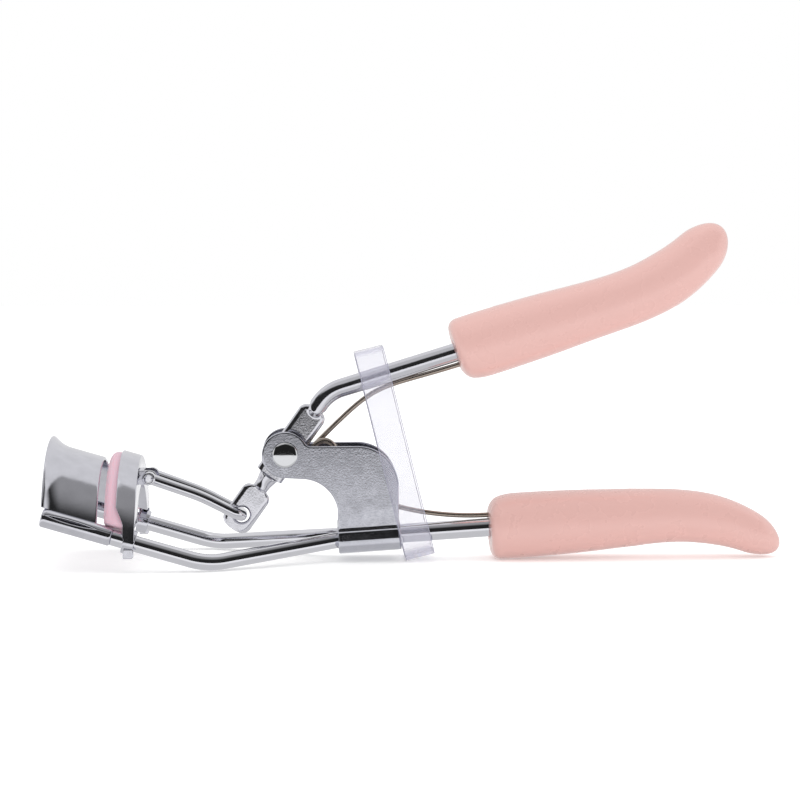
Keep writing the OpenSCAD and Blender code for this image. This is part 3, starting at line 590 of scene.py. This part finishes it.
# ===== rivet and spacers ===================================================================
# A steel rivet with polished heads, set through the cheeks, two turned bushes and the lever. Its
# head is the best mirror on the curler, with a turned bevel round it that catches the light.
rivet_d, rivet_head_d, head_h, bevel = 2.4, 4.4, 0.7, 0.4

# Polished steel: a clean mirror, split where it sees the table's far edge
rivet_chrome = finish("polished rivet head", {"Base Color": linear("dfe0e3"), "Metallic": 1.0},
                      "rivet_chrome", grit=1.5, depth=0.001, rough=(0.03, 0.07), mottle=3.0)
# Half the rivet, out from the head's face: a face domed by 0.055 mm, the bevel, the side, the shank
head_r, head_top = rivet_head_d / 2, cheek_out + head_h
face_r = head_r - bevel
dome = [(head_top - 0.055 * (r / face_r) ** 2, r) for r in np.linspace(0, face_r, 9)]
bevelled = [(head_top - 0.1, head_r - 0.3), (head_top - 0.24, head_r - 0.1), (head_top - 0.42, head_r)]
under = [(cheek_out + 0.02, head_r), (cheek_out, head_r - 0.05), (cheek_out, rivet_d / 2)]
half_rivet = dome + bevelled + under
profile = half_rivet + [(-d, r) for d, r in half_rivet[::-1]]
build("rivet_with_heads", [lathe(pivot, Y, profile)], "frame", rivet_chrome, ["pivot_rivet"], sharp=30)

# Turned steel: dull, with the fine roughness that the tool leaves
spacer_steel = finish("turned steel", {"Base Color": linear("b0b1b5"), "Metallic": 1.0},
                      "spacer_steel", grit=0.3, depth=0.006, rough=(0.22, 0.4), mottle=1.5)
coat("spacer_left", spacer_steel)
coat("spacer_right", spacer_steel)

# ===== handle rod ==========================================================================
# The lower handle is a plain 3.2 mm rod, held in the crimp and pushed 30 mm into its grip.
lower_grip_at = 20.6
lower_start = crimp + lower_grip_at * lower_dir
rod_line = np.linspace(0, 1, 30)[:, None]
rod_from, rod_to = crimp - lower_dir * crimp_len / 2, lower_start + lower_dir * rod_in_grip
build("lower_rod", [tube(rod_from + rod_line * (rod_to - rod_from), rod_d / 2)], "frame", wire_chrome,
      ["handle_rod"])

# ===== return spring =======================================================================
# Torsion spring of 0.85 mm wire: a coil between the cheeks and a leg into each grip. Spring wire is
# nickel plated and heat set, which leaves it brownish and less bright than the chrome.
spring_d, coil_d, coil_turns, leg_in_grip = 0.85, 4.6, 3, 5.0
coil_r, coil_half = (coil_d - spring_d) / 2, coil_turns * (spring_d + 0.1) / 2
coil_at = pivot + np.array([6.6, 0, 0.2])
leg_off = rod_d / 2 + spring_d / 2 + 0.13
low_pull, high_pull = 30, 47                   # how straight each leg leaves the coil

# Heat set nickel: warm and slightly dull beside the chrome
spring_wire = finish("nickel plated spring wire", {"Base Color": linear("b5a99e"), "Metallic": 1.0},
                     "spring_wire", grit=0.5, depth=0.004, rough=(0.16, 0.3), mottle=3.0)


def leg(a, u, b, v):
    """Hermite curve from a, leaving along u, to b, arriving along v."""
    t = np.linspace(0, 1, 49)[1:, None]
    return (a * (1 + 2 * t) * (1 - t) ** 2 + u * t * (1 - t) ** 2 + b * (3 - 2 * t) * t ** 2
            - v * t ** 2 * (1 - t))


t = np.linspace(0, 1, 150)
a = math.radians(225) - t * math.radians(90 + 360 * (coil_turns - 1))
coil = coil_at + np.stack([coil_r * np.cos(a), coil_half * (2 * t - 1), coil_r * np.sin(a)], axis=1)
low_end = lower_start + leg_off * lower_left
high_end = upper_start - leg_off * upper_left
low_leg = leg(coil[0], low_pull * slope(math.radians(-50)), low_end, low_pull * lower_dir)
high_leg = leg(coil[-1], high_pull * slope(math.radians(45)), high_end, high_pull * upper_dir)
line = np.vstack([low_end + leg_in_grip * lower_dir, low_leg[::-1], coil, high_leg,
                  high_end + leg_in_grip * upper_dir])
spring = build("torsion_spring", [tube(line, spring_d / 2, sides=20, edge=0.1)], None, spring_wire,
               ["return_spring"])
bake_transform(spring)

# ===== grips ===============================================================================
# Hollow handles injection moulded in pale pink ABS and pushed on to the rods. The mould is highly
# polished, so they are glossy and smooth, with only a hair line where its two halves met.
grip_len, grip_h, grip_w, tail_share, lower_slim = 49.4, 11.1, 11.6, 0.09, 0.4
front_round, inner_round, grip_flare, flare_power = 1.6, 4.4, 7.2, 2.85

# ABS from a polished mould: an even pale pink with broad, soft highlights
grip_plastic = finish("glossy ABS, pale pink",
                      {"Base Color": linear("d8aca5"), "Specular IOR Level": 0.6, "Coat Weight": 0.35,
                       "Coat Roughness": 0.3}, "grip_plastic",
                      grit=3.0, depth=0.0003, rough=(0.24, 0.32), mottle=14.0, fade=0.985)


def eased_through(values, t):
    """Catmull-Rom curve through values given at equal steps of t."""
    values = np.asarray(values)
    last = len(values) - 1
    s = np.clip(t, 0, 1) * last
    i = np.minimum(s.astype(int), last - 1)
    f = s - i
    a, b, c, d = (values[np.clip(i + k, 0, last)] for k in (-1, 0, 1, 2))
    return b + 0.5 * f * (c - a + f * (2 * a - 5 * b + 4 * c - d + f * (3 * (b - c) + d - a)))


def grip(start, direction, outward, slim):
    """Sections |y / w|^n + |v / h|^n = 1, n being 2 / power, square to a middle line that bends
    outwards by grip_flare (2 (t - 0.5))^flare_power. A fillet rounds the front edge, more so on the
    side that faces the other grip, and a cap closes the tail."""
    end = np.sin(np.linspace(0, math.pi / 2, 24))
    front = front_round / grip_len
    t = np.concatenate([front * (1 - np.cos(np.linspace(0, math.pi / 2, 9))),
                        np.linspace(front, 1 - tail_share, 110)[1:], 1 - tail_share + tail_share * end[1:]])
    rear = np.maximum(t - 0.5, 0) * 2
    mid = grip_flare * rear ** flare_power
    lean = np.arctan(2 * grip_flare * flare_power * rear ** (flare_power - 1) / grip_len)
    swell = (1 - slim * np.maximum(t - 0.5, 0)) * eased_through(
        [0.985, 1, 0.985, 0.955, 0.905, 0.87, 0.865, 0.86, 0.785, 0.66], t)
    nose = 1 - 2 * front_round / grip_h * (1 - np.sqrt(1 - np.maximum(1 - t / front, 0) ** 2))
    cap = np.sqrt(np.maximum(1 - (np.maximum(t - 1 + tail_share, 0) / tail_share) ** 2.2, 0))
    size = swell * nose * cap
    # The front face runs in to a bore that is a little wider than the rod
    bore = (rod_d / 2 + 0.25) / (grip_h / 2)
    t = np.concatenate([[0.02, 0.02, 0.004, 0, 0], t])
    mid = np.concatenate([np.zeros(5), mid])
    lean = np.concatenate([np.zeros(5), lean])
    size = np.concatenate([[0, bore, bore, bore * 1.12, size[0] * 0.97], size])
    a = np.linspace(0, 2 * math.pi, 96, endpoint=False)[None, :]
    power = 0.88
    seam = 1 + 0.004 * np.exp(-(np.cos(a) / 0.025) ** 2) * (size[:, None] > 0.4)
    y = grip_w / 2 * size[:, None] * np.sign(np.cos(a)) * np.abs(np.cos(a)) ** power
    v = grip_h / 2 * size[:, None] * np.sign(np.sin(a)) * np.abs(np.sin(a)) ** power * seam
    inner = 1 - np.clip(t[:, None] * grip_len / inner_round, 0, 1)
    v = np.where(v < 0, v * (1 - 0.34 * (1 - np.sqrt(1 - inner ** 2))), v)
    ahead = t[:, None] * grip_len - v * np.sin(lean)[:, None]
    off = mid[:, None] + v * np.cos(lean)[:, None]
    return skin(start + ahead[..., None] * direction + y[..., None] * Y + off[..., None] * outward)


build("upper_handle_grip", [grip(upper_start, upper_dir, upper_left, 0)], "lever", grip_plastic,
      ["upper_grip"])
build("lower_handle_grip", [grip(lower_start, lower_dir, -lower_left, lower_slim)], "frame", grip_plastic,
      ["lower_grip"])

# ===== clear band ==========================================================================
# A flat loop of clear soft film, slipped round both rods to hold the handles at rest. It is soft
# PVC, cut from a flat tube, so it is faintly milky, with bright cut edges and creases at its turns.
band_w, band_t, band_corner = 5.0, 0.35, 2.2

# Clear soft PVC: a faint lavender veil that thickens where it is seen edge on, and its colour is greyed there
# as painted shade
clear_film = bpy.data.materials.new("clear soft film")
clear_film.use_nodes = True
clear_film["slot"] = "clear_film"
tree = clear_film.node_tree
shader = tree.nodes["Principled BSDF"]
for key, value in {"Base Color": linear("cfcede"), "Roughness": 0.12, "IOR": 1.5}.items():
    shader.inputs[key].default_value = value
place = add(tree, "TexCoord").outputs["Object"]
waves = add(tree, "TexNoise", {"Vector": place, "Scale": 1 / (5 * MM), "Detail": 1.0}).outputs["Fac"]
crease = add(tree, "Bump", {"Height": waves, "Distance": 0.25 * MM, "Strength": 1.0}).outputs["Normal"]
tree.links.new(crease, shader.inputs["Normal"])
facing = add(tree, "LayerWeight", {"Blend": 0.35}).outputs["Facing"]
veil = add(tree, "MapRange", {"Value": facing, "From Min": 0.1, "From Max": 1.0, "To Min": 0.17,
                              "To Max": 0.8}).outputs[0]
tree.links.new(veil, shader.inputs["Alpha"])
# Painted shade: the film's colour turns grey where it is seen edge on
edge_on_painted_shade_mask = add(tree, "MapRange", {"Value": facing, "From Min": 0.75, "From Max": 0.95}).outputs[0]
painted_edge_on_shade = add(tree, "MixRGB", {"Fac": edge_on_painted_shade_mask, "Color1": linear("cfcede"),
                            "Color2": linear("9c9bab")}).outputs[0]
tree.links.new(painted_edge_on_shade, shader.inputs["Base Color"])

half_y = cheek_out + crimp_proud + 0.15
# It hangs over the upper rod, leans back, and reaches below the lower rod to just over the floor
band_top = pivot + np.array([14.05, 0, 17.65])
band_foot = np.array([pivot[0] + 22.8, 0, band_w * 0.12 + 0.03])
up = unit(band_top - band_foot)
wide = np.array([up[2], 0, -up[0]])
tall = np.linalg.norm(band_top - band_foot)


def loop_line(half_high, half_wide, r):
    """Oblong with round corners, as (v, y) points."""
    v, y = half_high - r, half_wide - r
    sides = [arc(c, r, start, start + 90, 0.25)
             for c, start in (((v, y), 0), ((-v, y), 90), ((-v, -y), 180), ((v, -y), 270))]
    line = np.vstack(sides + [sides[0][:1]])
    return respaced(np.hstack([line, np.zeros((len(line), 1))]), 0.4)[0][:-1, :2]


inside = loop_line(tall / 2 - band_t, half_y, band_corner)
t = unit(np.roll(inside, -1, axis=0) - np.roll(inside, 1, axis=0))
outside = inside + band_t * np.stack([t[:, 1], -t[:, 0]], axis=1)
rows = []
across = [-0.5, -0.475, -0.25, 0, 0.25, 0.475, 0.5]
for w, mixed in [(w, 1) for w in across] + [(w, 0) for w in across[::-1]]:
    p = outside * mixed + inside * (1 - mixed)
    rows.append((band_top + band_foot) / 2 + p[:, :1] * up + p[:, 1:] * Y + w * band_w * wide)
band = build("clear_film_band", [skin(np.stack(rows), closed=(True, True))], None, clear_film,
             ["retainer_band"], sharp=30)
# The cut edges and a thin strip beside them are given a grey colour, which is painted shade, so they show as
# thin grey lines
cut_edge_painted_shade = clear_film.copy()
cut_edge_painted_shade.name = "painted shade on the film's cut edge"
cut_shader = cut_edge_painted_shade.node_tree.nodes["Principled BSDF"]
for socket, value in (("Alpha", 0.75), ("Base Color", linear("a5a4b4"))):
    cut_edge_painted_shade.node_tree.links.remove(cut_shader.inputs[socket].links[0])
    cut_shader.inputs[socket].default_value = value
band.data.materials.append(cut_edge_painted_shade)
middles = np.empty(len(band.data.polygons) * 3)
band.data.polygons.foreach_get("center", middles)
off_middle = np.abs((middles.reshape(-1, 3) / MM - (band_top + band_foot) / 2) @ wide)
band.data.polygons.foreach_set("material_index", (off_middle > 0.475 * band_w).astype(np.int32))
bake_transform(band)

# ===== studio ==============================================================================
# A pale floor under a white backdrop. What the chrome mirrors is a real studio table: white cloth
# below and behind, a bright ceiling, and a dark room on the camera's side above the table's edge.
floor_mesh = bpy.data.meshes.new("floor")
floor_corners = [(x, y, -0.0001) for x, y in ((-3, -3), (3, -3), (3, 3), (-3, 3))]
floor_mesh.from_pydata(floor_corners, [], [(0, 1, 2, 3)])
floor = bpy.data.objects.new("floor", floor_mesh)
scene.collection.objects.link(floor)
# White cotton cloth, lit enough to vanish into the backdrop, so it shows only a faint shadow
cloth = bpy.data.materials.new("white backdrop cloth")
cloth.use_nodes = True
for key, value in {"Base Color": linear("fbfbfb"), "Roughness": 0.9, "Emission Color": linear("ffffff"),
                   "Emission Strength": 0.25}.items():
    cloth.node_tree.nodes["Principled BSDF"].inputs[key].default_value = value
floor_mesh.materials.append(cloth)
floor.visible_glossy = False

world = bpy.data.worlds.new("studio")
scene.world = world
world.use_nodes = True
tree = world.node_tree
parts = add(tree, "SeparateXYZ", {0: add(tree, "TexCoord").outputs["Generated"]}).outputs
# From a dark room, each layer covers the ones before it with its brightness, and fades in between two
# limits on an axis of the direction in which the chrome looks
layers = [(0.358, [("Z", 0.55, 0.92)]),                        # the room's ceiling
          (0.6, [("X", -0.02, -0.14), ("Z", 0.62, 0.75)]),     # its left wall
          (0.82, [("Y", -0.05, 0.05)]),                        # everything behind
          (1.1, [("Z", 0.985, 0.996)]),                        # softbox overhead
          (0.85, [("X", 0.8, 0.93)]),                          # white card on the right
          (0.85, [("X", -0.8, -0.93)]),                        # and on the left
          (1.0, [("Z", -0.082, -0.089)]),                      # table, up to its far edge
          (0.68, [("Z", -0.35, -0.6)])]                        # table close by
mirror = 0.018
for level, limits in layers:
    share = 1.0
    for axis, outside_at, inside_at in limits:
        within = add(tree, "MapRange", {"Value": parts[axis], "From Min": outside_at, "From Max": inside_at},
                     interpolation_type="SMOOTHSTEP").outputs[0]
        share = add(tree, "Math", {0: share, 1: within}, operation="MULTIPLY").outputs[0]
    mirror = add(tree, "Mix", {0: share, 2: mirror, 3: level}, data_type="FLOAT").outputs[0]
rays = add(tree, "LightPath").outputs
# Soft even light on what is dull, the room above in the chrome, and plain white behind
seen = add(tree, "Mix", {0: rays["Is Glossy Ray"], 2: 1.05, 3: mirror}, data_type="FLOAT").outputs[0]
seen = add(tree, "Mix", {0: rays["Is Camera Ray"], 2: seen, 3: 1.0}, data_type="FLOAT").outputs[0]
tree.nodes["Background"].inputs["Color"].default_value = (1.0, 1.0, 1.0, 1.0)
tree.links.new(seen, tree.nodes["Background"].inputs["Strength"])


def softbox(name, at, size, power, target=(0, 0, 0.02)):
    """A square area light that faces a target."""
    light = bpy.data.lights.new(name, "AREA")
    light.size = size
    light.energy = power
    lamp = bpy.data.objects.new(name, light)
    lamp.location = at
    lamp.rotation_euler = (Vector(at) - Vector(target)).to_track_quat("Z", "Y").to_euler()
    lamp.visible_glossy = False
    scene.collection.objects.link(lamp)


softbox("overhead softbox", (0.05, 0.05, 0.7), 0.6, 1.2)

# A long lens a little above the curler's middle, looking along +Y
aim = (pivot + np.array([19.5, 0, 8.9])) * MM
azimuth, elevation, distance = math.radians(-2.5), math.radians(3.5), 0.340
back = Vector((math.sin(azimuth) * math.cos(elevation), -math.cos(azimuth) * math.cos(elevation),
               math.sin(elevation)))
lens = bpy.data.cameras.new("camera")
lens.lens, lens.sensor_width, lens.clip_start = 90.0, 36.0, 0.01
camera = bpy.data.objects.new("camera", lens)
camera.location = Vector(aim) + back * distance
camera.rotation_euler = back.to_track_quat("Z", "Y").to_euler()
scene.collection.objects.link(camera)
scene.camera = camera
